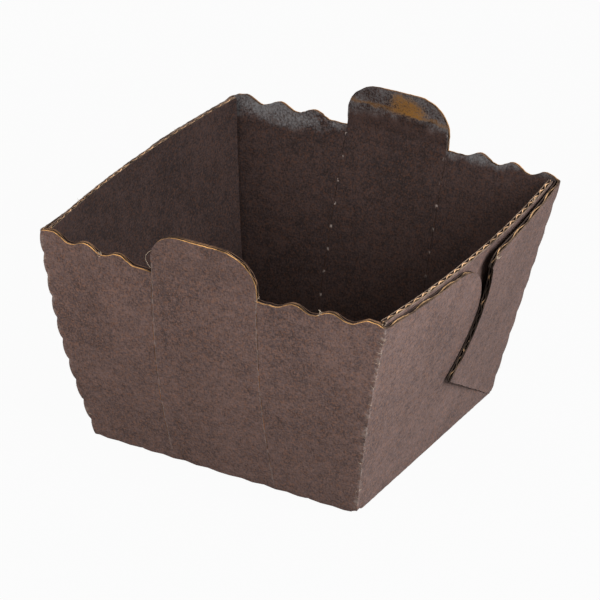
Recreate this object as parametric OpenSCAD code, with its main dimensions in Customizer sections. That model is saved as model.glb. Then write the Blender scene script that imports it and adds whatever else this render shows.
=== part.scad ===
// Cupcake liner: a square baking cup folded from one die-cut blank of fluted board.
// The base, four leaning walls, two pull tabs and four lapping flaps are one sheet.
// Origin: middle of the underside of the base. +Z is up and the front wall faces -Y.
// All sizes are in millimetres.

/* [Cup] */
// Outside width of the mouth, from wall to wall
top_w = 60; // [57:0.5:64]
// Outside width of the base, from fold to fold
base_w = 46.5; // [44.5:0.5:48.5]
// Height of the straight side walls above the table
height = 37; // [34:0.5:42]

/* [Board] */
// Thickness of the fluted board
board = 0.8; // [0.7:0.05:0.9]
// Thickness of each flat liner sheet of the board
liner = 0.14; // [0.1:0.01:0.17]
// Thickness of the waved sheet between the liners
medium = 0.12; // [0.08:0.01:0.16]
// Distance from one flute to the next
flute_pitch = 2.42; // [2.2:0.02:2.8]
// Outer radius of every fold
fold_r = 0.95; // [0.85:0.05:1.2]

/* [Scalloped edges] */
// Length of one scallop on the front and back walls
scallop_pitch = 6.06; // [5.6:0.02:6.4]
// Depth of the scallops on the front and back walls
scallop_depth = 1.15; // [0.6:0.05:1.5]
// How far the scallops' crests stand above the side walls' top
crest_rise = 0.45; // [0.3:0.05:0.8]

/* [Pull tabs] */
// Width of a pull tab
tab_w = 18.1; // [16:0.1:20]
// Height of a pull tab above the side walls' top
tab_rise = 7.35; // [6.8:0.05:8.5]
// Radius of a tab's two corners
tab_r = 5.8; // [4:0.1:6]

/* [Tear lines] */
// Length of one slit
slit_len = 3; // [2:0.1:3.4]
// Width of one slit
slit_w = 0.2; // [0.15:0.05:0.3]
// Distance from one slit to the next
slit_pitch = 3.9; // [3.7:0.1:4.5]
// Length of a tear line, from its top slit down
tear_line_len = 33; // [26:0.5:33.5]

/* [Flaps] */
// Gap between a side wall and the flaps lapped over it
flap_gap = 0.2; // [0.15:0.05:0.4]
// Angle at which the over flap stands off the side wall
flap_swing = 2.3; // [2.2:0.1:3.5]
// How far the under flap's top edge lies below the side wall's top
under_drop = 0.6; // [0.4:0.05:1.2]
// How far the over flap's top edge lies below the side wall's top
over_drop = 0.3; // [0.2:0.05:1.2]
// Radius of the under flap's round end
round_end_r = 12.8; // [12.2:0.1:13]
// Radius of the over flap's hollow end
hollow_end_r = 15.3; // [15:0.1:15.8]
// Slope of the over flap's lower edge, degrees
flap_low_slope = 31.2; // [30.4:0.2:32.2]

/* [Hidden] */

lean = atan((top_w - base_w) / 2 / height);
slope_h = height / cos(lean);
corner_angle = atan((top_w - base_w) / 2 / slope_h);
corner_bend = acos(pow(sin(lean), 2));
base_bend = 90 - lean;

// panels start this much inside the bend, and this far from the fold's sharp corner
bend_lap = 0.07;
base_reach = fold_r * tan(base_bend / 2) - bend_lap;
under_reach = fold_r * tan(corner_bend / 2) - bend_lap;
over_reach = fold_r * tan((corner_bend - flap_swing) / 2) - bend_lap;

// the side walls stand inside the flaps
side_inset = (board + flap_gap) / cos(lean);
// between a side wall's cut edge and the wall beside it
edge_clear = 0.3;
// from the mouth edge down to the top slit
slit_start = 2.6;
// flat strip on each side of a fold, inside the panel beside it
fold_leg = 0.6;
// how deep the crease presses each face of the board in
base_crease = 0.05;
corner_crease = 0.03;
// the corner folds start a little above the table and stop at the mouth
corner_foot = 0.4;
corner_top = 0.15;

// flutes run across the front and back walls, and turn with the corners in the flaps
flap_flute_angle = 2 * corner_angle;
// half the share of a pitch that a flute's opening takes
opening_half = 0.42;
opening_shoulder = 0.26;
opening_floor = 0.1;
wave_half = (board - 2 * liner - medium) / 2;
flutes_side = 2 * floor((top_w - 2 * (board + edge_clear)) / flute_pitch / 2);
flutes_tab = ceil((tab_rise + scallop_depth) / flute_pitch);
flutes_flap = 13;
scallop_steps = 8;
tab_steps = 9;
fold_steps = 6;

// middle of the round end's arc, from the middle of the mouth edge
round_end_x = -8.6;
round_end_low = -45;
// middle of the hollow end's arc, and the angles it spans
hollow_end_x = -11.3;
hollow_end_y = -10.6;
hollow_end_top = 29;
hollow_end_low = -53.3;
// the over flap's rounded upper corner
over_nose_r = 2.5;
over_nose_x = 3.9;
over_nose_end = 175;
// gap in the plane of the side between the over flap's lower edge and the under flap
seam_gap = 0.3;
// the flaps' lowest points, the tongue's width there and how far it runs up under the tip
flap_foot = 0.55;
tongue_foot = 0.3;
tongue_rise = 1.5;
over_foot = 0.15;
over_heel = 1.7;
// a flap's top edge at its fold, and where the straight top edge begins
flap_root_top = 0.05;
flap_shoulder = 2.2;
flap_steps = 16;
// how far a flap's flutes stay from its fold
flute_start = 3;

// HELPERS

// points of an arc, from one angle to another
function arc(x, y, r, from, to, steps) = [
    for (i = [0:steps])
        let (a = from + (to - from) * i / steps)
        [x + r * cos(a), y + r * sin(a)]
];

// distance of a wall's right-hand corner from its middle line, at a distance up the slope
function corner_x(up) = base_w / 2 + up * tan(corner_angle);

// the same, less the width that the fold takes
function panel_x(up, reach) = corner_x(up) - reach / cos(corner_angle);

// height of the scalloped edge over the mouth plane, at a distance from the tab's side
function wall_edge(d) =
    crest_rise - scallop_depth / 2 + scallop_depth / 2 * cos(360 * d / scallop_pitch);

// places what is drawn on a wall's outer face: x along it, y up the slope, z outwards
module on_wall(turn, inset = 0) {
    rotate([0, 0, turn])
        translate([0, inset - base_w / 2, 0])
            rotate([90 + lean, 0, 0])
                children();
}

// y runs up the fold at a wall's right-hand corner
module at_right_corner() {
    translate([base_w / 2, 0, 0])
        rotate([0, 0, -corner_angle])
            children();
}

// turns a flap outwards about the fold at a wall's right-hand corner
module swung_out() {
    at_right_corner()
        rotate([0, flap_swing, 0])
            rotate([0, 0, corner_angle])
                translate([-base_w / 2, 0, 0])
                    children();
}

// keeps what lies between two heights above the table
module between(low, high) {
    intersection() {
        children();
        translate([-top_w, -top_w, low])
            cube([2 * top_w, 2 * top_w, high - low]);
    }
}

// a fold along y, from the sharp corner of the two outer faces
module fold(bend, from, to, crease) {
    outer_r = fold_r - crease;
    inner_r = fold_r - board + crease;
    translate([0, to, 0])
        rotate([90, 0, 0])
            linear_extrude(to - from)
                translate([-fold_r * tan(bend / 2), -fold_r])
                    polygon(concat(
                        [[-fold_leg, inner_r], [-fold_leg, outer_r]],
                        arc(0, 0, outer_r, 90, 90 - bend, fold_steps),
                        [
                            [
                                outer_r * sin(bend) + fold_leg * cos(bend),
                                outer_r * cos(bend) - fold_leg * sin(bend)
                            ],
                            [
                                inner_r * sin(bend) + fold_leg * cos(bend),
                                inner_r * cos(bend) - fold_leg * sin(bend)
                            ]
                        ],
                        arc(0, 0, inner_r, 90 - bend, 90, 3)
                    ));
}

// a sheet of board under the wall's outer face
module sheet() {
    translate([0, 0, -board])
        linear_extrude(board)
            children();
}

// a flute's two openings along x, one against each liner, half a pitch apart
module flute(from, to) {
    for (side = [0, 1])
        translate([from, side * flute_pitch / 2, -board / 2])
            rotate([90, 0, 90])
                linear_extrude(to - from)
                    mirror([0, side])
                        polygon([
                            [-opening_half * flute_pitch, wave_half + medium / 2],
                            [-opening_shoulder * flute_pitch, flute_floor(opening_shoulder)],
                            [-opening_floor * flute_pitch, flute_floor(opening_floor)],
                            [opening_floor * flute_pitch, flute_floor(opening_floor)],
                            [opening_shoulder * flute_pitch, flute_floor(opening_shoulder)],
                            [opening_half * flute_pitch, wave_half + medium / 2]
                        ]);
}

// height of the waved sheet's face at a share of the pitch from the bottom of a wave
function flute_floor(share) = medium / 2 - wave_half * cos(360 * share);

// PANELS

// the front wall's outline, with its scalloped edge and its pull tab
module front_outline() {
    left = -panel_x(slope_h, over_reach);
    right = panel_x(slope_h, under_reach);
    scallops = floor((right - tab_w / 2) / scallop_pitch);
    steps = scallops * scallop_steps;
    step = scallop_pitch / scallop_steps;
    tab_r_x = tab_w / 2 - tab_r;
    tab_r_y = slope_h + tab_rise - tab_r;
    polygon(concat(
        [[-panel_x(base_reach, over_reach), base_reach]],
        [[left, slope_h + crest_rise]],
        [for (i = [steps:-1:0])
            [-tab_w / 2 - i * step, slope_h + wall_edge(i * step)]],
        arc(-tab_r_x, tab_r_y, tab_r, 180, 90, tab_steps),
        arc(tab_r_x, tab_r_y, tab_r, 90, 0, tab_steps),
        [for (i = [0:steps])
            [tab_w / 2 + i * step, slope_h + wall_edge(i * step)]],
        [[right, slope_h + crest_rise]],
        [[panel_x(base_reach, under_reach), base_reach]]
    ));
}

// slits down both sides of the tab
module tear_lines() {
    slits = floor(tear_line_len / slit_pitch);
    first_top = slope_h - slit_start;
    for (side = [-1, 1])
        for (i = [0:slits - 1])
            translate([
                side * tab_w / 2 - slit_w / 2,
                first_top - slit_len - i * slit_pitch,
                -2 * board
            ])
                cube([slit_w, slit_len, 3 * board]);
}

module front_wall() {
    difference() {
        sheet()
            front_outline();
        tear_lines();
        for (i = [0:flutes_tab - 1])
            translate([0, slope_h - scallop_depth + i * flute_pitch, 0])
                flute(
                    -panel_x(slope_h - 3, over_reach) + fold_leg,
                    panel_x(slope_h - 3, under_reach) - fold_leg
                );
    }
    // the fold to the base
    rotate([0, 0, -90])
        fold(base_bend, -panel_x(0, over_reach), panel_x(0, under_reach), base_crease);
}

function base_plate_x() = base_w / 2 - side_inset - base_reach;

module base() {
    half_y = base_w / 2 - base_reach;
    translate([-base_plate_x(), -half_y, 0])
        cube([2 * base_plate_x(), 2 * half_y, board]);
}

// a side wall, cut straight across its flutes at the top
module side_wall() {
    low_x = corner_x(base_reach) - board / cos(lean) - edge_clear;
    high_x = corner_x(slope_h) - board / cos(lean) - edge_clear;
    fold_half = base_w / 2 - base_reach - fold_leg - edge_clear;
    difference() {
        sheet()
            polygon([
                [-low_x, base_reach],
                [-high_x, slope_h],
                [high_x, slope_h],
                [low_x, base_reach]
            ]);
        for (i = [0:flutes_side - 1])
            rotate([0, 0, 90])
                translate([0, (i - flutes_side / 2) * flute_pitch, 0])
                    flute(base_reach + fold_leg, slope_h + 1);
    }
    rotate([0, 0, -90])
        fold(base_bend, -fold_half, fold_half, base_crease);
}

// lowest point of the hollow end, in a side's frame
over_tip = [
    hollow_end_x + hollow_end_r * cos(hollow_end_low),
    slope_h + hollow_end_y + hollow_end_r * sin(hollow_end_low)
];

// where a line that runs down from that point reaches a height up the slope
function seam_x(up, gap) =
    over_tip[0] + (over_tip[1] - gap / cos(flap_low_slope) - up) / tan(flap_low_slope);

// the flap with the round end, drawn from the left-hand corner of the side
module under_flap() {
    edge = slope_h - under_drop;
    tongue_low = flap_foot + tongue_foot;
    tongue_high = over_tip[1] - tongue_rise;
    sheet_with_flutes(-1)
        polygon(concat(
            [
                [-panel_x(flap_foot, under_reach), flap_foot],
                [-panel_x(slope_h, under_reach), slope_h + flap_root_top],
                [flap_shoulder - corner_x(slope_h), edge]
            ],
            arc(
                round_end_x, edge - round_end_r, round_end_r,
                90, round_end_low, flap_steps
            ),
            [
                [seam_x(tongue_high, seam_gap), tongue_high],
                [seam_x(tongue_low, seam_gap), tongue_low],
                [seam_x(tongue_low, seam_gap), flap_foot]
            ]
        ));
}

// the flap with the hollow end, drawn from the right-hand corner of the side
module over_flap() {
    edge = slope_h - over_drop;
    heel = flap_foot + over_foot;
    sheet_with_flutes(1)
        polygon(concat(
            [
                [panel_x(slope_h, over_reach), slope_h + flap_root_top],
                [corner_x(slope_h) - flap_shoulder, edge]
            ],
            arc(over_nose_x, edge - over_nose_r, over_nose_r, 90, over_nose_end, fold_steps),
            arc(
                hollow_end_x, slope_h + hollow_end_y, hollow_end_r,
                hollow_end_top, hollow_end_low, flap_steps
            ),
            [
                [seam_x(heel, 0), heel],
                [panel_x(over_heel, over_reach), over_heel]
            ]
        ));
}

// a flap of board with its flutes rising away from its corner
module sheet_with_flutes(side) {
    far = panel_x(slope_h, under_reach) - fold_leg;
    difference() {
        sheet()
            children();
        translate([side * corner_x(slope_h), slope_h, 0])
            rotate([0, 0, -side * flap_flute_angle])
                for (i = [0:flutes_flap - 1])
                    translate([0, -(i + 1) * flute_pitch, 0])
                        flute(
                            side > 0 ? -2 * far : flute_start,
                            side > 0 ? -flute_start : 2 * far
                        );
    }
}

// THE FOLDED SHEET

module folded_liner() {
    color([0.36, 0.27, 0.24]) {
        base();
        for (turn = [0, 180]) {
            on_wall(turn)
                front_wall();
            on_wall(turn + 90, side_inset)
                side_wall();
            on_wall(turn + 90)
                under_flap();
            on_wall(turn - 90)
                swung_out()
                    over_flap();
            between(corner_foot, height + corner_top)
                on_wall(turn) {
                    at_right_corner()
                        fold(corner_bend, 0, 1.1 * slope_h, corner_crease);
                    mirror([1, 0, 0])
                        at_right_corner()
                            fold(corner_bend - flap_swing, 0, 1.1 * slope_h, corner_crease);
                }
        }
    }
}

folded_liner();
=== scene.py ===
import math
import random

import bpy
import numpy as np
from mathutils import Matrix, Vector


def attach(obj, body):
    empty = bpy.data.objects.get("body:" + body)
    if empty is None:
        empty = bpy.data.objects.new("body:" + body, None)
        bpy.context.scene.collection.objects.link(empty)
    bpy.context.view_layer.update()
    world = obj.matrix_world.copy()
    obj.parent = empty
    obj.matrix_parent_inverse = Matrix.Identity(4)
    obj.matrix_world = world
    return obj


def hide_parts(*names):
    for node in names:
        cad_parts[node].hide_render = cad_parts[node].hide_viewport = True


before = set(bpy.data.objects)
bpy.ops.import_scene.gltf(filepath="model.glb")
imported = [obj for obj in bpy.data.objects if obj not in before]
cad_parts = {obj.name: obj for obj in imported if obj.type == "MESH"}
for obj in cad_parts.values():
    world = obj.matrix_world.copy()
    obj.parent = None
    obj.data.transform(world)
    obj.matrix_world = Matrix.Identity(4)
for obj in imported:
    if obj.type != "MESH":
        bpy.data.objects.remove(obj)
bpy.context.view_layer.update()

# A square baking cup, folded from one blank of fluted board. The blank is laid out flat in
# millimetres, u to the right and v to the back, with its outer face down at z = 0. Its two liners
# and its waved sheet are cut to the blank's outline, and then every point is folded into place.
# On a wall or a flap, "up" is the distance from its foot, measured along the board.

MM = 0.001
DEG = math.pi / 180

# cup
TOP_W = 60.0
BASE_W = 46.5
HEIGHT = 37.0
LEAN = math.atan((TOP_W - BASE_W) / 2 / HEIGHT)
SLOPE = HEIGHT / math.cos(LEAN)
CORNER = math.atan((TOP_W - BASE_W) / 2 / SLOPE)

# board
BOARD = 0.8
OUTER = 0.19
INNER = 0.13
MEDIUM = 0.15
WAVE = (BOARD - OUTER - INNER - MEDIUM) / 2
FLUTE = 2.42

# folds, with their outside radius
FOLD_R = 0.95
FOLD_MID_R = FOLD_R - BOARD / 2
CORNER_BEND = math.acos(math.sin(LEAN) ** 2)
BASE_BEND = math.pi / 2 - LEAN
# how sharp the side walls' folds to the base are, from 0, round, to 1, square
SIDE_FOLD_SHARP = 0.5
# the over flaps stand off the sides by this angle
SWING = 2.3 * DEG
# the left side's over flap is pressed flat and has slipped down a little
PRESSED = 0.2 * DEG
SLIPPED = 0.085
SIDE_GAP = 0.2
SIDE_INSET = (BOARD + SIDE_GAP) / math.cos(LEAN)


def reach(bend):
    """From a fold's sharp corner back to where the bend starts."""
    return FOLD_R * math.tan(bend / 2)


# from the middle of the base to the foot of the front wall, and of a side wall, on the flat blank
FRONT_FOOT = BASE_W / 2 + FOLD_MID_R * BASE_BEND - 2 * reach(BASE_BEND)
SIDE_FOOT = FRONT_FOOT - SIDE_INSET
# where the bend to a wall starts, past its foot
BEND_START = reach(BASE_BEND) - FOLD_MID_R * BASE_BEND
# the side walls are laid out this much further from the middle, clear of the flaps
APART = 46.0
# the seam between the base and a side wall
SEAM_U = SIDE_FOOT + BEND_START

# scalloped edges and pull tabs
SCALLOPS = 3
SCALLOP = 6.06
SCALLOP_DEPTH = 1.15
CREST = 0.45
EDGE_END = 28.6
EDGE_END_RISE = 0.18
TAB_W = 18.1
TAB_RISE = 7.35
TAB_R = 5.8
CURVE_STEPS = 14

# the folds are cut at this pitch, and bulge between the cuts
CREASE_PITCH = 3.87
CREASE_TOP = 3.7

# tear lines
SLITS = 8
SLIT_PITCH = 3.9
SLIT_LEN = 3.0
SLIT_W = 0.08
SLIT_START = 2.6

# under flap, with its round end
UNDER_DROP = 0.6
ROUND_R = 12.8
ROUND_X = -8.6
ROUND_END = -45
UNDER_FOOT = 0.3
UNDER_TOE = 0.15
# its seam with the over flap starts below the hollow's tip, and closes towards the far corner
SEAM = 0.17
SEAM_START = 1.5
SEAM_SHUT = 0.35

# over flap, with its hollow end
OVER_DROP = 0.3
NOSE_R = 2.5
NOSE_X = -3.9
NOSE_END = 5
HOLLOW_R = 15.3
HOLLOW_X = 11.3
HOLLOW_Y = -10.6
HOLLOW_START = 151
HOLLOW_END = 230.5
LOW_SLOPE = 32.6 * DEG
HEEL = 0.12
HEEL_IN = 0.95

# how far from the corner both flaps start at the top
SHOULDER = 2.2
# how far in from the corner the under flap ends at its foot, and how far up
FOOT_IN = 0.8
FOOT = 0.9
FLAP_STEPS = 30

# the feet of the corner folds are rounded off: distances in from the corner and up
UNDER_FLAP_ROUNDING = [(1.9, 0.3), (1.3, 0.5)]
UNDER_ROUNDING = [(0.35, 0.85), (0.9, 0.4), (1.45, 0.12), (1.75, 0.0)]
OVER_ROUNDING = [(1.75, 0.0), (1.3, 0.1), (0.88, 0.25), (0.3, 0.35)]
BASE_CORNER = 0.16

# a side wall is narrower than the cup at its foot and its top, and wider in the bend below it
SIDE_FOOT_RISE = 0.79
SIDE_SHORT_FOOT = 1.3
SIDE_SHORT_TOP = 1.5
SIDE_TOE = 0.72
SIDE_TAPER = 1.5

# the cut edges are rough
ROUGH_PITCH = 0.6
ROUGHNESS = 0.05

# how far each wall bulges outwards at the middle of its mouth edge
BOW = {"front": 1.8, "back": 2.1, "right": 1.6, "left": 2.1}
# how far each corner stands out at mid-height
CORNER_BULGE = {
    (-1, -1): (-0.6, -1.2),
    (1, -1): (0.0, -1.3),
    (1, 1): (0.0, 0.0),
    (-1, 1): (-0.3, 0.0),
}
# how far the back tab's top leans back over the cup, and how much more at its left end
BACK_TAB_LEAN = 1.9
BACK_TAB_TWIST = 0.65

# the flat sheets that the blank is cut from, and how finely each fold is divided
SHEET_W = 214
SHEET_L = 136
FOLD_CUTS = 7
# the flat place is kept in the UVs as a share of this length, with the middle at 1
UV_LENGTH = 100


# OUTLINES


def arc(x, y, r, start, end, steps):
    """Points of an arc between two angles in degrees."""
    angles = np.radians(np.linspace(start, end, steps + 1))
    return [(x + r * math.cos(a), y + r * math.sin(a)) for a in angles]


def corner_x(up):
    """Half the front wall's width at a height."""
    return BASE_W / 2 + up * math.tan(CORNER)


def flap_to_sheet(points, swing):
    """Points of a folded flap, with its corner on the left, as points of the flat front sheet."""
    bend = CORNER_BEND - swing
    start = reach(bend)
    out = []
    for x, y in points:
        dx = x + BASE_W / 2
        along = y * math.cos(CORNER) - dx * math.sin(CORNER)
        across = dx * math.cos(CORNER) + y * math.sin(CORNER)
        across += FOLD_MID_R * bend - 2 * start
        out.append((
            BASE_W / 2 + along * math.sin(CORNER) + across * math.cos(CORNER),
            along * math.cos(CORNER) - across * math.sin(CORNER),
        ))
    return out


def scallop_edge():
    """The front wall's top edge, from its left corner to its right corner."""
    waves = []
    for i in range(SCALLOPS * CURVE_STEPS + 1):
        x = TAB_W / 2 + i * SCALLOP / CURVE_STEPS
        # the edge is level from the tab to its first hollow
        turn = math.tau * max(i, CURVE_STEPS / 2) / CURVE_STEPS
        waves.append((x, SLOPE + CREST - SCALLOP_DEPTH / 2 * (1 - math.cos(turn))))
    tab = arc(TAB_W / 2 - TAB_R, SLOPE + TAB_RISE - TAB_R, TAB_R, 0, 90, CURVE_STEPS)
    right = tab[::-1] + waves + [(EDGE_END, SLOPE + EDGE_END_RISE)]
    left = [(-x, y) for x, y in right[::-1]]
    return left + right


def hollow_tip():
    """The point where an over flap's hollow end meets its lower edge."""
    return arc(HOLLOW_X, SLOPE + HOLLOW_Y, HOLLOW_R, HOLLOW_END, HOLLOW_END, 1)[0]


def under_flap():
    """The flap with the round end, from its top corner round to its foot."""
    tip_x, tip_y = hollow_tip()
    top = SLOPE - UNDER_DROP

    def seam_x(up):
        return -tip_x + (tip_y - SEAM / math.cos(LOW_SLOPE) - up) / math.tan(LOW_SLOPE)

    seam_top = tip_y - SEAM_START
    far_x = seam_x(UNDER_FOOT) + SEAM_SHUT
    return (
        [(SHOULDER - corner_x(SLOPE), top)]
        + arc(ROUND_X, top - ROUND_R, ROUND_R, 90, ROUND_END, FLAP_STEPS)
        + [(seam_x(seam_top), seam_top), (far_x, UNDER_FOOT), (far_x, UNDER_TOE)]
        + [(-BASE_W / 2 + x, up) for x, up in UNDER_FLAP_ROUNDING]
        + [(-corner_x(FOOT) + FOOT_IN, FOOT)]
    )


def over_flap():
    """The flap with the hollow end, with its corner on the left."""
    tip_x, tip_y = hollow_tip()
    top = SLOPE - OVER_DROP
    heel_x = tip_x - (tip_y - HEEL) / math.tan(LOW_SLOPE)
    return (
        [(SHOULDER - corner_x(SLOPE), top)]
        + arc(NOSE_X, top - NOSE_R, NOSE_R, 90, NOSE_END, 8)
        + arc(HOLLOW_X, SLOPE + HOLLOW_Y, HOLLOW_R, HOLLOW_START, HOLLOW_END, FLAP_STEPS)
        + [(heel_x, HEEL), (-corner_x(HEEL) + HEEL_IN, HEEL)]
    )


def side_wall():
    """The right side wall on the blank, with its fold to the base."""
    start = APART + SIDE_FOOT
    low = BASE_W / 2 + SIDE_FOOT_RISE * math.tan(CORNER) - SIDE_SHORT_FOOT
    high = corner_x(SLOPE) - SIDE_SHORT_TOP
    wide = low + SIDE_TOE
    foot = start + SIDE_FOOT_RISE
    top = start + SLOPE
    half = [
        (foot + SIDE_TAPER, low + SIDE_TAPER * math.tan(CORNER)),
        (foot, wide),
        (start + BEND_START, wide),
    ]
    return [(x, -y) for x, y in half[::-1]] + [(top, -high), (top, high)] + half


def half_sheet():
    """Half of the edge of the front wall, the base and the back wall, with their flaps."""
    over = [(-x, y) for x, y in flap_to_sheet(over_flap(), SWING)][::-1]
    under = flap_to_sheet(under_flap(), 0)
    over_foot = [(x - BASE_W / 2, up) for x, up in OVER_ROUNDING]
    under_foot = [(BASE_W / 2 - x, up) for x, up in UNDER_ROUNDING]
    sheet = over_foot + over + scallop_edge() + under + under_foot
    corner = FRONT_FOOT - BASE_CORNER
    return [(x, -(y + FRONT_FOOT)) for x, y in sheet] + [(SEAM_U, -corner), (SEAM_U, corner)]


def turned(points):
    """The same points turned half round."""
    return [(-x, -y) for x, y in points]


def roughened(points, rng):
    """The same closed outline with points at a close spacing, each moved a little.

    Points on the seam between the base and a side wall stay where they are.
    """
    out = []
    for (x0, y0), (x1, y1) in zip(points, points[1:] + points[:1]):
        length = math.hypot(x1 - x0, y1 - y0)
        parts = max(1, round(length / ROUGH_PITCH))
        for i in range(parts):
            t = i / parts
            x, y = x0 + (x1 - x0) * t, y0 + (y1 - y0) * t
            on_seam = min(abs(abs(x) - SEAM_U), abs(abs(x) - SEAM_U - APART)) < 0.01
            rough = 0 if on_seam or length < 0.2 else ROUGHNESS
            out.append((x + rng.uniform(-rough, rough), y + rng.uniform(-rough, rough)))
    return out


# FOLDING


def bent(e, w, bend, sharp):
    """Where a point lies past the start of a bend: along the first panel, and out of it.

    sharp is 0 for a round bend and 1 for a square one.
    """
    phi = np.clip(e / FOLD_MID_R, 0, bend)
    past = np.maximum(e - FOLD_MID_R * bend, 0)
    before = np.minimum(e, 0)
    square = 1 / np.maximum(np.cos(phi), np.cos(bend - phi))
    r = (FOLD_R + w) * (1 + sharp * (square - 1))
    along = before + r * np.sin(phi) + past * math.cos(bend)
    out = -FOLD_R + r * np.cos(phi) - past * math.sin(bend)
    return along - reach(bend), out


def dented(turn, low, more):
    """How sharp a cut fold is: dented at each cut, every half turn, and full between them."""
    return low + more * np.abs(np.sin(turn)) ** 0.6


def corner_fold_sharp(along):
    return dented(math.pi * (SLOPE - along - CREASE_TOP) / CREASE_PITCH, 0.1, 0.95)


def wall_fold_sharp(x):
    return dented(math.pi * x / CREASE_PITCH + 0.6, 0.15, 0.7)


def bow(x, up, amount):
    """Bulge of a wall at a point on it, nothing at its corners and its foot."""
    half = BASE_W / 2 + np.clip(up, 0, None) * math.tan(CORNER) - reach(CORNER_BEND)
    across = np.clip(x / half, -1, 1)
    return amount * (1 - across ** 2) * np.clip(up / SLOPE, 0, 1.3)


def tab_bend(x, up, lean):
    """How far a leaning tab is pushed in at a point on it."""
    share = np.clip((up - SLOPE + 0.5) / TAB_RISE, 0, 1.2) ** 1.4
    return lean * share * (1 + BACK_TAB_TWIST * np.clip(0.5 + x / TAB_W, 0, 1))


def wall_frame(turn):
    """Origin and axes of a wall's outer face: along it, up the slope, outwards."""
    c, s = math.cos(turn), math.sin(turn)
    spin = np.array([[c, -s, 0], [s, c, 0], [0, 0, 1.0]])
    origin = spin @ (0, -BASE_W / 2, 0)
    along = spin @ (1.0, 0, 0)
    up = spin @ (0, -math.sin(LEAN), math.cos(LEAN))
    out = spin @ (0, -math.cos(LEAN), -math.sin(LEAN))
    return origin, along, up, out


def fold_half_front(x, y, w, side, swing, slip, bows, tab_lean):
    """Folds points of the front sheet's right half, or of its left half seen in a mirror.

    side is 1 for the right half and -1 for the left one, and bows are the wall's and the flap's.
    """
    wall_bow, flap_bow = bows
    bend = CORNER_BEND - swing
    along = (x - BASE_W / 2) * math.sin(CORNER) + y * math.cos(CORNER)
    across = (x - BASE_W / 2) * math.cos(CORNER) - y * math.sin(CORNER)
    e = across + reach(bend)
    past = np.maximum(e - FOLD_MID_R * bend, 0)
    on_base = (x < BASE_W / 2 - 1.2) & (y < 0)
    on_wall = (e <= 0) | on_base
    on_flap = (past > 0) & ~on_base

    # round the corner fold
    q, out = bent(e, w, bend, corner_fold_sharp(along))
    q = np.where(on_wall, across, q)
    out = np.where(on_wall, w, out)
    # a flap bulges with the side that it lies on
    flap_across = np.where(on_wall, 0, reach(bend) + past)
    side_x = -BASE_W / 2 - along * math.sin(CORNER) + flap_across * math.cos(CORNER)
    side_y = along * math.cos(CORNER) + flap_across * math.sin(CORNER)
    push = np.where(on_flap, bow(side_x, side_y, flap_bow), 0)
    out = out + push * math.cos(bend)
    q = q + push * math.sin(bend)
    along = along - slip * np.where(on_wall, 0, past)
    sx = BASE_W / 2 + along * math.sin(CORNER) + q * math.cos(CORNER)
    sy = along * math.cos(CORNER) - q * math.sin(CORNER)

    # the fold to the base, and the foot of the corner fold, which follows it less and less
    down = reach(BASE_BEND) - y
    base_y, base_out = bent(down, w, BASE_BEND, wall_fold_sharp(x))
    to_base = on_wall & (down > 0)
    phi = np.clip(e / FOLD_MID_R, 0, bend)
    tucked = np.where(~on_wall & (down > 0), 1 - phi / bend, 0)
    sx = sx + tucked * (base_out - w) * np.sin(phi)
    out = out + tucked * (base_out - w) * np.cos(phi)
    sy = np.where(to_base, -base_y, sy - tucked * (base_y + y))

    # the wall's bulge and its leaning tab
    wall_push = np.where(on_wall, bow(x, y, wall_bow) - tab_bend(side * x, y, tab_lean), 0)
    out = np.where(to_base, base_out, out) + wall_push
    origin, ex, ey, ez = wall_frame(0)
    points = origin + np.outer(sx, ex) + np.outer(sy, ey) + np.outer(out, ez)
    points[:, 0] *= side
    return points


def fold_front(x, y, w, bows, tab_lean, over_swing, slipped):
    """Folds points of the front sheet, with the over flap at its left end.

    bows are those of the wall and of the sides at its right and its left.
    """
    wall_bow, right_bow, left_bow = bows
    points = np.zeros((len(x), 3))
    right = x >= 0
    halves = (
        (right, 1, 0, 0, (wall_bow, right_bow)),
        (~right, -1, over_swing, slipped, (wall_bow, left_bow)),
    )
    for pick, side, swing, slip, half_bows in halves:
        points[pick] = fold_half_front(
            np.abs(x[pick]), y[pick], w[pick], side, swing, slip, half_bows, tab_lean
        )
    return points


def fold_side(x, up, w, amount):
    """Folds points of the right side wall, x along it towards the back."""
    origin, ex, ey, ez = wall_frame(math.pi / 2)
    down = reach(BASE_BEND) - up
    low_y, low_out = bent(down, w, BASE_BEND, SIDE_FOLD_SHARP)
    y = np.where(down > 0, -low_y, up)
    out = np.where(down > 0, low_out, w) + bow(x, up, amount) - SIDE_INSET * math.cos(LEAN)
    shift = SIDE_INSET * math.sin(LEAN)
    return origin + np.outer(x, ex) + np.outer(y - shift, ey) + np.outer(out, ez)


def folded(flat):
    """Folds points of the blank (u, v, z in millimetres) into the cup."""
    u, v, w = flat[:, 0], flat[:, 1], -flat[:, 2]
    is_side = np.abs(u) > APART + SIDE_FOOT - 0.1
    # the back and the left are folded like the front and the right, and turned half round
    halves = (
        (1, v < 0, ("front", "right", "left"), (0, PRESSED, SLIPPED)),
        (-1, v >= 0, ("back", "left", "right"), (BACK_TAB_LEAN, SWING, 0)),
    )
    points = np.zeros_like(flat)
    for turn, in_half, walls, settings in halves:
        bows = [BOW[name] for name in walls]
        pick = is_side & (u * turn > 0)
        up = np.abs(u[pick]) - SIDE_FOOT - APART
        half = fold_side(turn * v[pick], up, w[pick], bows[1])
        points[pick] = half * (turn, turn, 1)
        pick = ~is_side & in_half
        up = np.abs(v[pick]) - FRONT_FOOT
        half = fold_front(turn * u[pick], up, w[pick], bows, *settings)
        points[pick] = half * (turn, turn, 1)
    return points


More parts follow.
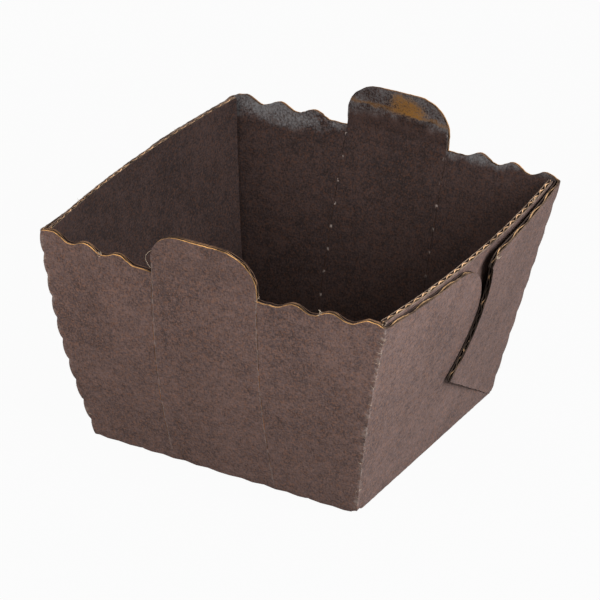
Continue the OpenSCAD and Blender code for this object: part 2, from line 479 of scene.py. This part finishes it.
def settled(points):
    """Moves the folded cup's points as the corners bulge at mid-height."""
    height = np.clip(points[:, 2] / HEIGHT, 0, 1)
    half = BASE_W / 2 + (TOP_W - BASE_W) / 2 * height
    x = np.clip(points[:, 0] / half, -1, 1)
    y = np.clip(points[:, 1] / half, -1, 1)
    lift = np.sin(math.pi * height)
    out = points.copy()
    for (cx, cy), (dx, dy) in CORNER_BULGE.items():
        share = (1 + cx * x) * (1 + cy * y) / 4 * lift
        out[:, 0] += dx * share
        out[:, 1] += dy * share
    return out


# MAKING


def deselect():
    for o in bpy.context.selected_objects:
        o.select_set(False)


def activate(obj):
    deselect()
    bpy.context.view_layer.objects.active = obj
    obj.select_set(True)


def edit(obj):
    """Goes into edit mode with everything selected."""
    activate(obj)
    bpy.ops.object.mode_set(mode="EDIT")
    bpy.ops.mesh.select_all(action="SELECT")


def done():
    bpy.ops.object.mode_set(mode="OBJECT")


def close_outwards():
    """Turns all the faces of a closed mesh in edit mode outwards."""
    bpy.ops.mesh.select_all(action="SELECT")
    bpy.ops.mesh.normals_make_consistent(inside=False)


def joined(parts):
    """Joins separate objects into the first one."""
    deselect()
    for part in parts:
        part.select_set(True)
    bpy.context.view_layer.objects.active = parts[0]
    bpy.ops.object.join()
    return parts[0]


def apply_boolean(obj, operation, other):
    activate(obj)
    mod = obj.modifiers.new("cut", "BOOLEAN")
    mod.operation = operation
    mod.solver = "MANIFOLD"
    mod.object = other
    bpy.ops.object.modifier_apply(modifier=mod.name)


def prism(name, points, low, high):
    """A flat outline made solid between two heights."""
    mesh = bpy.data.meshes.new(name)
    mesh.from_pydata([(x, y, low) for x, y in points], [], [list(range(len(points)))])
    obj = bpy.data.objects.new(name, mesh)
    bpy.context.scene.collection.objects.link(obj)
    edit(obj)
    bpy.ops.mesh.quads_convert_to_tris(ngon_method="CLIP")
    bpy.ops.mesh.extrude_region_move(TRANSFORM_OT_translate={"value": (0, 0, high - low)})
    close_outwards()
    done()
    return obj


def blank_cutter():
    """The blank's outline as a solid, with the tear lines' slits cut through it."""
    rng = random.Random(4)
    half = half_sheet()
    wall = side_wall()
    outlines = [half + turned(half), wall, turned(wall)]
    cutter = joined([prism("blank_cutter", roughened(o, rng), -1.0, 2.0) for o in outlines])
    slits = []
    for side in (-1, 1):
        for end in (-1, 1):
            for i in range(SLITS):
                top = SLOPE - SLIT_START - i * SLIT_PITCH + FRONT_FOOT
                place = (side * TAB_W / 2, end * (top - SLIT_LEN / 2), 0.5)
                deselect()
                bpy.ops.mesh.primitive_cube_add(size=1, location=place)
                slit = bpy.context.object
                slit.scale = (SLIT_W, SLIT_LEN, 4)
                slits.append(slit)
    slits = joined(slits)
    bpy.ops.object.transform_apply(location=True, rotation=True, scale=True)
    apply_boolean(cutter, "DIFFERENCE", slits)
    bpy.data.objects.remove(slits)
    return cutter


def cut_line(point, normal):
    """Divides a flat sheet in edit mode along a straight line."""
    bpy.ops.mesh.select_all(action="SELECT")
    bpy.ops.mesh.bisect(plane_co=(*point, 0), plane_no=(*normal, 0))


def gridded_sheet(name, columns, rows):
    """A flat sheet over the whole blank, with extra cuts where it will be folded."""
    deselect()
    bpy.ops.mesh.primitive_grid_add(x_subdivisions=columns, y_subdivisions=rows, size=1)
    obj = bpy.context.object
    obj.name = name
    obj.scale = (SHEET_W, SHEET_L, 1)
    bpy.ops.object.transform_apply(location=True, rotation=True, scale=True)
    edit(obj)
    for share in np.linspace(0, 1, FOLD_CUTS):
        past = reach(BASE_BEND) - FOLD_MID_R * BASE_BEND * share
        for side in (-1, 1):
            cut_line((side * (APART + SIDE_FOOT + past), 0), (1, 0))
            cut_line((0, side * (FRONT_FOOT + past)), (0, 1))
        past = FOLD_MID_R * CORNER_BEND * share - reach(CORNER_BEND)
        for side in (-1, 1):
            for end in (-1, 1):
                across = (side * math.cos(CORNER), end * -math.sin(CORNER))
                foot = (side * BASE_W / 2, end * FRONT_FOOT)
                cut_line((foot[0] + across[0] * past, foot[1] + across[1] * past), across)
    done()
    return obj


def thickened(obj, low, thick):
    """Makes the flat sheet a closed solid of a thickness, with its underside at a height."""
    edit(obj)
    bpy.ops.transform.translate(value=(0, 0, low))
    bpy.ops.mesh.extrude_region_move(TRANSFORM_OT_translate={"value": (0, 0, thick)})
    close_outwards()
    done()


def flat_points(obj):
    flat = np.empty(len(obj.data.vertices) * 3, np.float64)
    obj.data.vertices.foreach_get("co", flat)
    return flat.reshape(-1, 3)


def place_points(obj, points):
    obj.data.vertices.foreach_set("co", (points * MM).ravel().astype(np.float32))
    obj.data.update()


def finish_layer(obj, cutter, wave, face, edge):
    """Cuts a solid sheet to the blank, paints it, keeps its flat place as UVs and folds it."""
    apply_boolean(obj, "INTERSECT", cutter)
    mesh = obj.data
    mesh.materials.clear()
    mesh.materials.append(face)
    mesh.materials.append(edge)
    for polygon in mesh.polygons:
        polygon.material_index = 1 if abs(polygon.normal.z) < 0.5 else 0
    flat = flat_points(obj)
    uv = mesh.uv_layers.new(name="blank")
    loops = np.empty(len(mesh.loops), np.int32)
    mesh.loops.foreach_get("vertex_index", loops)
    uv.data.foreach_set("uv", (flat[loops, :2] / UV_LENGTH + 1).ravel().astype(np.float32))
    if wave:
        flat[:, 2] += WAVE * np.cos(math.tau * flat[:, 1] / FLUTE)
    place_points(obj, settled(folded(flat)))
    activate(obj)
    bpy.ops.object.shade_smooth_by_angle(angle=35 * DEG)
    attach(obj, "root")
    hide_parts("folded_liner")


# FINISHES


class Value:
    """A shader socket that takes + - * / with numbers and other values."""

    def __init__(self, finish, socket):
        self.finish = finish
        self.socket = socket

    def math(self, operation, *others):
        inputs = dict(enumerate((self, *others)))
        return self.finish.node("ShaderNodeMath", {"operation": operation}, inputs)

    def __add__(self, other):
        return self.math("ADD", other)

    def __mul__(self, other):
        return self.math("MULTIPLY", other)

    def __sub__(self, other):
        return self.math("SUBTRACT", other)

    def __truediv__(self, other):
        return self.math("DIVIDE", other)

    def __rsub__(self, other):
        return self.finish.node("ShaderNodeMath", {"operation": "SUBTRACT"}, {0: other, 1: self})

    __radd__ = __add__
    __rmul__ = __mul__

    def power(self, other):
        return self.math("POWER", other)

    def absolute(self):
        return self.math("ABSOLUTE")

    def clamped(self):
        return self.finish.node("ShaderNodeClamp", {}, {0: self})

    def step(self, low, high):
        """0 below low, 1 above high, smooth between them."""
        return self.finish.node(
            "ShaderNodeMapRange", {"interpolation_type": "SMOOTHSTEP"}, {0: self, 1: low, 2: high}
        )


class Finish:
    """One material and the ways to add nodes to it."""

    def __init__(self, name):
        self.material = bpy.data.materials.new(name)
        self.material.use_nodes = True
        self.tree = self.material.node_tree
        self.tree.nodes.clear()
        self.output = self.tree.nodes.new("ShaderNodeOutputMaterial")

    def node(self, kind, settings, inputs, output=0):
        made = self.tree.nodes.new(kind)
        for key, value in settings.items():
            setattr(made, key, value)
        for key, value in inputs.items():
            if isinstance(value, Value):
                self.tree.links.new(value.socket, made.inputs[key])
            else:
                made.inputs[key].default_value = value
        return Value(self, made.outputs[output])

    def noise(self, place, scale, detail=3.0, rough=0.5):
        inputs = {"Vector": place, "Scale": scale, "Detail": detail, "Roughness": rough}
        return self.node("ShaderNodeTexNoise", {}, inputs)

    def stretched(self, place, scale, turn=(0, 0, 0)):
        return self.node("ShaderNodeMapping", {}, {0: place, "Scale": scale, "Rotation": turn})

    def mixed(self, factor, first, second, blend="MIX"):
        settings = {"data_type": "RGBA", "blend_type": blend}
        first, second = (c if isinstance(c, Value) else (*c, 1) for c in (first, second))
        return self.node("ShaderNodeMix", settings, {0: factor, 6: first, 7: second}, output=2)

    def surface(self, color, roughness, bump, distance, specular):
        normal = self.node("ShaderNodeBump", {}, {"Height": bump, "Distance": distance})
        shader = self.node("ShaderNodeBsdfPrincipled", {}, {
            "Base Color": color,
            "Roughness": roughness,
            "Normal": normal,
            "Specular IOR Level": specular,
        })
        self.tree.links.new(shader.socket, self.output.inputs["Surface"])
        return self.material


def object_place(f):
    return f.node("ShaderNodeTexCoord", {}, {}, output=3)


def blank_place(f):
    """The place on the flat blank: its UVs, and u and v in millimetres."""
    blank = f.node("ShaderNodeUVMap", {"uv_map": "blank"}, {})
    split = f.node("ShaderNodeSeparateXYZ", {}, {0: blank})
    u = (split - 1) * UV_LENGTH
    v = (Value(f, split.socket.node.outputs[1]) - 1) * UV_LENGTH
    return blank, u, v


def times(tone, *factors):
    """A colour times a number, or each of its channels times its own number."""
    factors = factors * 3 if len(factors) == 1 else factors
    return tuple(c * k for c, k in zip(tone, factors))


PULLED_FIBRE = (0.36, 0.29, 0.25)
DUST = (0.165, 0.160, 0.160)
OCHRE = (0.26, 0.118, 0.024)
TAB_TOP = SLOPE + FRONT_FOOT


def paper(name, tone, coarse, inside):
    """Brown liner paper: fine fibres, soft mottling, and the marks of use."""
    f = Finish(name)
    place = object_place(f)
    blank, u, v = blank_place(f)
    # fibres in both directions of the sheet, and soft clouds
    grain = f.noise(place, 3200, 3, 0.6)
    streak = f.noise(f.stretched(blank, (400, 150, 1)), 1.0, 3, 0.6)
    cross = f.noise(f.stretched(blank, (150, 400, 1)), 1.0, 2, 0.5)
    cloud = f.noise(place, 650, 3, 0.55)
    patch = f.noise(place, 90, 3, 0.55)
    speck = f.noise(f.stretched(place, (1, 1, 1), (0.4, 0.9, 0.2)), 2600, 2, 0.6)
    shade = (grain - 0.5) * 1.5 + (streak - 0.5) * 1.5 + (cross - 0.5) * 1.1
    shade = shade + (cloud - 0.5) * 1.0 + (patch - 0.5) * 0.9
    color = f.mixed((shade * coarse + 0.5).clamped(), times(tone, 0.45), times(tone, 1.55))
    # reddish, bluish and pale fibres
    color = f.mixed(speck.step(0.5, 0.7) * (0.5 * coarse), color, times(tone, 1.95, 1.45, 1.05))
    color = f.mixed(speck.step(0.5, 0.3) * (0.4 * coarse), color, times(tone, 0.7, 0.86, 1.12))
    pale = f.noise(f.stretched(blank, (420, 170, 1), (0, 0, 0.5)), 1.0, 2, 0.6)
    color = f.mixed(pale.step(0.6, 0.74) * (0.55 * coarse), color, times(tone, 2.3, 2.2, 2.1))
    # scuffed fibres along the corner folds and at the tear lines
    across = (u.absolute() - BASE_W / 2) * math.cos(CORNER)
    across = across - (v.absolute() - FRONT_FOOT) * math.sin(CORNER)
    fold = across + reach(CORNER_BEND) - FOLD_MID_R * CORNER_BEND / 2
    fold = (fold + (cloud - 0.5) * 0.9).absolute()
    tear = (u.absolute() - TAB_W / 2 + 0.12 + (cloud - 0.5) * 0.5).absolute()
    wall = (v.absolute() - FRONT_FOOT).step(0.5, 2.0)
    loose = f.noise(f.stretched(blank, (260, 110, 1)), 1.0, 3, 0.6)
    worn = (1 - fold.step(0.05, 0.28)) * loose.step(0.42, 0.66) * 0.55
    if inside:
        # only the uncut bits between the slits are pulled up inside
        pitches = (TAB_TOP - SLIT_START - v.absolute()) / SLIT_PITCH
        bridge = 1 - (pitches.math("FRACT") - 0.88).absolute().step(0.02, 0.1)
        worn = worn + (1 - tear.step(0.05, 0.3)) * bridge * loose.step(0.44, 0.56) * 0.9
    else:
        worn = worn + (1 - tear.step(0.03, 0.2)) * loose.step(0.38, 0.64) * 0.5
    color = f.mixed((worn * wall).clamped(), color, PULLED_FIBRE)
    if inside:
        color = marked_edge(f, color, tone, place, (u, v), (grain, streak, patch))
    flutes = (v * (math.tau / FLUTE)).math("SINE")
    relief = grain * 0.5 + streak * 0.5 + cloud * 0.3 + flutes * 0.3
    return f.surface(color, 0.82, relief, 0.00005, 0.2)


def marked_edge(f, color, tone, place, where, noises):
    """Dust along the back wall's upper edge, and the back tab's bare paper and ochre rub."""
    u, v = where
    grain, streak, patch = noises
    ragged = f.noise(place, 420, 4, 0.65)
    tab = 1 - u.absolute().step(TAB_W / 2 - 0.4, TAB_W / 2)
    bare = tab * (v - TAB_TOP).step(-0.5, 2.5) * ragged.step(0.35, 0.65) * 0.75
    color = f.mixed(bare, color, times(tone, 2.1, 2.0, 1.9))
    # how far down the dust reaches: further at the left, and only on the tab's upper part
    low = 3.1 - u.step(-17, -9) * 2.0 - u.step(17, 24) * 1.3
    low = low * (1 - tab) - tab * (2.9 - (u * u) * 0.012)
    band = (v + (ragged - 0.5) * 3.6 - TAB_TOP + low).step(-0.9, 1.1)
    dusty = 0.5 + (grain - 0.5) * 2.2 + (streak - 0.5) * 1.4
    dusty = (dusty + (ragged - 0.5) * 1.3 + (patch - 0.5) * 1.5).clamped()
    color = f.mixed(band * dusty * 0.85, color, DUST)
    # the ochre: a patch near the tab's middle, and a line below the dust
    line = (v - TAB_TOP - 3.9 + u * 0.05 + (ragged - 0.5) * 2.4).absolute()
    rub = ((u - 1.6) / 3.5).power(2) + ((v - TAB_TOP - 5.1 + u * 0.08) / 1.95).power(2)
    rub = (1 - rub + (ragged - 0.5) * 2.6 + (grain - 0.5) * 2.8).step(-0.3, 1.3)
    ochre = rub + (1 - line.step(0.0, 0.6)) * tab * 0.45
    return f.mixed((ochre * 0.95).clamped(), color, OCHRE)


# painted shade in the hollows of the waved sheet's cut
WAVE_HOLLOW_SHADE_TONE = (0.13, 0.085, 0.062)
# painted shade along the over flaps' hollow ends
HOLLOW_END_SHADE_TONE = (0.035, 0.024, 0.018)
# painted shade on the cut edges near the walls' feet
FOOT_SHADE_TONE = (0.09, 0.062, 0.055)
SHADOW_TONE = (0.03, 0.02, 0.015)


def cut_board(name, wall_tone, flap_tone, side_tone, wave_hollow_shade=0.0):
    """Raw board where it is cut.

    It has one tone at the scalloped edges, one at the flaps' ends and one at the side walls'
    tops, and is painted dark along the hollow ends as painted shade. wave_hollow_shade is how
    much painted shade darkens it in the hollows of the waves.
    """
    f = Finish(name)
    place = object_place(f)
    _, u, v = blank_place(f)
    grain = f.noise(place, 3000, 3, 0.6)
    patch = f.noise(place, 330, 3, 0.6)
    far = u.absolute()
    on_side = far.step(62, 64)
    tone = f.mixed(far.step(28.8, 29.6), wall_tone, flap_tone)
    tone = f.mixed(on_side, tone, side_tone)
    # the over flaps lie where u and v have the same sign
    hollow_x, hollow_y = flap_to_sheet([(HOLLOW_X, SLOPE + HOLLOW_Y)], SWING)[0]
    aside = u * v.math("SIGN") - hollow_x
    above = v.absolute() - FRONT_FOOT - hollow_y
    away = (aside.power(2) + above.power(2)).power(0.5)
    hollow = 1 - (away - HOLLOW_R).absolute().step(0.25, 0.5)
    # painted shade along the hollow end's cut, broken by a few lighter patches
    hollow_end_shade = hollow * patch.step(0.66, 0.56)
    # the waved sheet's cut keeps its tone where it rises to the inner liner, and is painted darker
    # in the hollows between the liners, as painted shade
    rise = (v * (math.tau / FLUTE)).math("COSINE")
    tone = f.mixed((1 - rise.step(-0.75, 0.3)) * wave_hollow_shade, tone, WAVE_HOLLOW_SHADE_TONE)
    tone = f.mixed(hollow_end_shade, tone, HOLLOW_END_SHADE_TONE)
    # near the feet of the front and back walls and their flaps, the cut edges are painted dark as
    # painted shade
    foot = 1 - (v.absolute() - FRONT_FOOT).step(2.5, 4.5) * (1 - on_side) - on_side
    tone = f.mixed(foot.clamped(), tone, FOOT_SHADE_TONE)
    light = (grain * 0.7 + patch * 5.0 - 2.3).clamped()
    dark = f.mixed(0.7, tone, SHADOW_TONE)
    color = f.mixed(light, dark, f.mixed(1.0, tone, (1.35, 1.35, 1.35), "MULTIPLY"))
    return f.surface(color, 0.9, grain, 0.00003, 0.1)


def fibre_finish(name, tone):
    """Pale loose fibre, darker in places."""
    f = Finish(name)
    grain = f.noise(object_place(f), 1500, 2, 0.6)
    color = f.mixed(grain.step(0.3, 0.7), times(tone, 0.6), tone)
    return f.surface(color, 0.8, grain, 0.00002, 0.2)


outer_face = paper("outer_paper", (0.147, 0.094, 0.081), 1.0, False)
# the inner paper's tone is far darker than the outer paper's, partly its own colour and partly
# painted shade inside the cup
shaded_inner_face = paper("inner_paper_and_painted_shade", (0.0375, 0.0220, 0.0188), 1.4, True)
outer_cut = cut_board("outer_cut", (0.58, 0.30, 0.105), (0.14, 0.09, 0.065), (0.20, 0.14, 0.105))
inner_cut = cut_board("inner_cut", (0.10, 0.056, 0.036), (0.06, 0.04, 0.03), (0.24, 0.165, 0.115))
wave_cut = cut_board("wave_cut", (0.20, 0.105, 0.05), (0.46, 0.27, 0.13), (0.85, 0.50, 0.27), 0.85)
wave_face = cut_board("wave_face", (0.07, 0.045, 0.03), (0.14, 0.085, 0.05), (0.16, 0.10, 0.055))
pale_fibre = fibre_finish("pale_fibre", (0.62, 0.48, 0.35))


# THE BLANK, CUT AND FOLDED

cutter = blank_cutter()

outer_liner = gridded_sheet("outer_liner", 107, 214)
inner_liner = outer_liner.copy()
inner_liner.data = outer_liner.data.copy()
inner_liner.name = "inner_liner"
bpy.context.scene.collection.objects.link(inner_liner)
waved_sheet = gridded_sheet("waved_sheet", 80, 562)

thickened(outer_liner, 0, OUTER)
thickened(inner_liner, BOARD - INNER, INNER)
thickened(waved_sheet, OUTER + WAVE, MEDIUM)

finish_layer(outer_liner, cutter, False, outer_face, outer_cut)
finish_layer(inner_liner, cutter, False, shaded_inner_face, inner_cut)
finish_layer(waved_sheet, cutter, True, wave_face, wave_cut)
bpy.data.objects.remove(cutter)


# TORN FIBRES

# place on the blank, or on an over flap's nose, which way it points in degrees, how many fibres
# it has, how long and how thick they are
TUFTS = [
    ((-18.5, -59.3, 0.1), -90, 9, 1.0, 0.07),
    ((-19.0, -59.3, 0.1), -60, 5, 0.7, 0.05),
    ((9.1, -59.5, 0.1), -80, 7, 0.8, 0.055),
    ((19.5, -59.7, 0.2), -95, 10, 1.2, 0.07),
    ((20.2, -59.7, 0.3), -70, 5, 0.9, 0.05),
    ("nose", 60, 11, 0.9, 0.08),
    ("nose_back", 95, 5, 0.5, 0.06),
    ((104.9, -15.9, 0.3), 0, 8, 0.9, 0.06),
    ((104.9, 21.4, 0.3), 10, 9, 0.8, 0.065),
    ((104.9, 20.4, 0.3), -10, 5, 0.6, 0.05),
    ((104.9, 1.2, 0.3), 5, 4, 0.5, 0.05),
    ((29.4, -60.1, 0.3), -70, 6, 0.6, 0.06),
    ((-104.9, 12.4, 0.3), 180, 6, 0.7, 0.05),
    ((-104.9, -18.2, 0.3), 180, 6, 0.8, 0.05),
]
# a long curl beside the front tab, and a fibre standing on the right wall's edge
LONG_CURL = [
    (-9.2, -60.2, 0.0), (-9.5, -61.0, -0.2), (-9.7, -61.8, -0.3), (-9.6, -62.6, -0.25),
    (-9.2, -63.2, -0.1), (-8.8, -63.5, 0.1), (-8.5, -63.7, 0.2),
]
STANDING_FIBRE = [
    (104.0, -18.4, -0.05), (104.5, -18.35, -0.15), (105.0, -18.3, -0.2), (105.4, -18.2, -0.2),
]
# the corners by their side and end, and how many fibres each fold has
FOLD_FIBRES = ((1, -1, 28), (-1, -1, 12), (1, 1, 12), (-1, 1, 12))
TUBE_SIDES = 5
CURL_STEPS = 7


def tube(path, radius, points, faces):
    """Adds a closed, tapered tube along a path."""
    first = len(points)
    for i, point in enumerate(path):
        ahead = path[min(i + 1, len(path) - 1)] - path[max(i - 1, 0)]
        across = np.cross(ahead, (0.3, 0.5, 0.8))
        across /= np.linalg.norm(across)
        over = np.cross(ahead / np.linalg.norm(ahead), across)
        r = radius * (1 - 0.7 * i / (len(path) - 1))
        for k in range(TUBE_SIDES):
            angle = math.tau * k / TUBE_SIDES
            points.append(point + r * (math.cos(angle) * across + math.sin(angle) * over))
    for i in range(len(path) - 1):
        a = first + i * TUBE_SIDES
        for k in range(TUBE_SIDES):
            b = (k + 1) % TUBE_SIDES
            faces.append((a + k, a + b, a + TUBE_SIDES + b, a + TUBE_SIDES + k))
    last = first + (len(path) - 1) * TUBE_SIDES
    faces.append(tuple(first + k for k in range(TUBE_SIDES))[::-1])
    faces.append(tuple(last + k for k in range(TUBE_SIDES)))


def curled(rng, start, heading, length, curl):
    """A fibre's path on the flat blank, from its root, with its free end curling."""
    path = [np.array(start, float)]
    turn = rng.uniform(-curl, curl)
    lift = rng.uniform(-0.5, 0.1)
    for _ in range(CURL_STEPS):
        heading += turn / CURL_STEPS
        step = np.array((math.cos(heading), math.sin(heading), lift)) * length / CURL_STEPS
        path.append(path[-1] + step)
        lift += rng.uniform(-0.3, 0.25)
    return np.array(path)


def tuft_fibres(rng):
    """Paths and radii of the tufts at the cut edges."""
    nose_u, nose_rise = flap_to_sheet([(NOSE_X + 1.7, SLOPE - OVER_DROP - 0.8)], SWING)[0]
    nose_v = nose_rise + FRONT_FOOT
    named = {"nose": (nose_u, nose_v, 0.1), "nose_back": (nose_u - 0.6, nose_v + 0.5, 0.2)}
    fibres = []
    for place, heading, count, length, thick in TUFTS:
        root_u, root_v, root_z = named.get(place, place)
        for _ in range(count):
            start = (
                root_u + rng.gauss(0, 0.22),
                root_v + rng.gauss(0, 0.22),
                root_z + rng.uniform(-0.1, 0.15),
            )
            aim = (heading + rng.gauss(0, 38)) * DEG
            path = curled(rng, start, aim, length * rng.uniform(0.3, 0.8), 1.6)
            fibres.append((path, thick * rng.uniform(0.5, 0.9)))
    return fibres


def fold_fibres(rng):
    """Paths and radii of the short fibres that lie along the corner folds."""
    fibres = []
    for side, end, count in FOLD_FIBRES:
        for _ in range(count):
            rise = rng.uniform(1.5, SLOPE - 1)
            across = FOLD_MID_R * CORNER_BEND * rng.gauss(0.5, 0.1) - reach(CORNER_BEND)
            u = BASE_W / 2 + rise * math.tan(CORNER) + across / math.cos(CORNER)
            start = (side * u, end * (rise + FRONT_FOOT), rng.uniform(-0.06, 0.02))
            heading = end * 90 + rng.gauss(0, 35) + rng.choice((0, 180))
            path = curled(rng, start, heading * DEG, rng.uniform(0.2, 0.5), 0.9)
            path[:, 2] = start[2] + (path[:, 2] - start[2]) * 0.4
            fibres.append((path, rng.uniform(0.025, 0.045)))
    return fibres


def torn_fibres():
    """Loose fibres where the board was torn or cut: at the edges, and along the corner folds."""
    rng = random.Random(21)
    fibres = tuft_fibres(rng)
    fibres += [(np.array(path), 0.05) for path in (LONG_CURL, STANDING_FIBRE)]
    fibres += fold_fibres(rng)
    points, faces = [], []
    for path, thick in fibres:
        tube(settled(folded(path)), thick, points, faces)
    mesh = bpy.data.meshes.new("torn_fibres")
    mesh.from_pydata([tuple(p * MM) for p in points], [], faces)
    obj = bpy.data.objects.new("torn_fibres", mesh)
    bpy.context.scene.collection.objects.link(obj)
    edit(obj)
    close_outwards()
    done()
    mesh.materials.append(pale_fibre)
    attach(obj, "root")


torn_fibres()


# STAGE, LIGHT AND CAMERA

FLOOR_TONE = 0.22
FLOOR_SEEN = 0.96
SKY_LIGHT = 0.33
SKY_SEEN = 1.0

deselect()
bpy.ops.mesh.primitive_plane_add(size=3, location=(0, 0, -0.0001))
floor = bpy.context.object
floor.name = "floor"
pale = Finish("pale_floor")
rays = pale.tree.nodes.new("ShaderNodeLightPath")
camera_ray = Value(pale, rays.outputs["Is Camera Ray"])
glossy_ray = Value(pale, rays.outputs["Is Glossy Ray"])
clear_ray = Value(pale, rays.outputs["Is Transmission Ray"])
matt = pale.node("ShaderNodeBsdfDiffuse", {}, {"Color": (FLOOR_TONE, FLOOR_TONE, FLOOR_TONE, 1)})
glow = pale.node("ShaderNodeEmission", {}, {"Color": (1, 1, 1, 1), "Strength": 1.0})
seen = (camera_ray + glossy_ray + clear_ray).clamped() * FLOOR_SEEN
both = pale.node("ShaderNodeMixShader", {}, {0: seen, 1: matt, 2: glow})
pale.tree.links.new(both.socket, pale.output.inputs["Surface"])
floor.data.materials.append(pale.material)

world = bpy.data.worlds.new("studio")
bpy.context.scene.world = world
world.use_nodes = True
tree = world.node_tree
tree.nodes.clear()
sky_rays = tree.nodes.new("ShaderNodeLightPath")
seen_sky = tree.nodes.new("ShaderNodeMath")
seen_sky.operation = "MAXIMUM"
tree.links.new(sky_rays.outputs["Is Camera Ray"], seen_sky.inputs[0])
tree.links.new(sky_rays.outputs["Is Glossy Ray"], seen_sky.inputs[1])
strength = tree.nodes.new("ShaderNodeMapRange")
strength.inputs["To Min"].default_value = SKY_LIGHT
strength.inputs["To Max"].default_value = SKY_SEEN
tree.links.new(seen_sky.outputs[0], strength.inputs["Value"])
sky = tree.nodes.new("ShaderNodeBackground")
tree.links.new(strength.outputs[0], sky.inputs["Strength"])
world_output = tree.nodes.new("ShaderNodeOutputWorld")
tree.links.new(sky.outputs[0], world_output.inputs["Surface"])


def softbox(name, place, size, power, color):
    """A square lamp that points at the cup."""
    light = bpy.data.lights.new(name, "AREA")
    light.shape = "SQUARE"
    light.color = color
    light.size = size
    light.energy = power
    lamp = bpy.data.objects.new(name, light)
    lamp.location = place
    aim = Vector((0, 0, 0.02)) - Vector(place)
    lamp.rotation_euler = aim.to_track_quat("-Z", "Y").to_euler()
    bpy.context.scene.collection.objects.link(lamp)


softbox("right_softbox", (0.22, -0.05, 0.15), 0.12, 0.74, (0.95, 1.0, 1.04))
softbox("left_softbox", (-0.10, -0.25, 0.15), 0.15, 0.43, (1.04, 1.0, 0.98))
softbox("back_softbox", (-0.20, 0.24, 0.15), 0.15, 0.45, (1.0, 1.0, 1.0))

# the camera's angles, distance and lens were fitted to the cup's corners
AZIMUTH = 0.481348727
ELEVATION = 0.475875378
ROLL = 0.041605173
FOCAL_PX = 4187.95207
DISTANCE = 666.829631
ASIDE = -0.602888837
RAISED = -17.9397666
IMAGE_PX = 600
SENSOR = 36

forward = Vector((
    -math.sin(AZIMUTH) * math.cos(ELEVATION),
    math.cos(AZIMUTH) * math.cos(ELEVATION),
    -math.sin(ELEVATION),
))
level = forward.cross(Vector((0, 0, 1))).normalized()
upright = level.cross(forward)
right = math.cos(ROLL) * level + math.sin(ROLL) * upright
up = math.cos(ROLL) * upright - math.sin(ROLL) * level
place = (-ASIDE * right - RAISED * up - DISTANCE * forward) * MM
lens = bpy.data.cameras.new("camera")
lens.sensor_width = SENSOR
lens.lens = FOCAL_PX / IMAGE_PX * SENSOR
lens.clip_end = 10
camera = bpy.data.objects.new("camera", lens)
camera.matrix_world = Matrix((
    (right.x, up.x, -forward.x, place.x),
    (right.y, up.y, -forward.y, place.y),
    (right.z, up.z, -forward.z, place.z),
    (0, 0, 0, 1),
))
bpy.context.scene.collection.objects.link(camera)
bpy.context.scene.camera = camera
bpy.context.scene.view_settings.view_transform = "Standard"
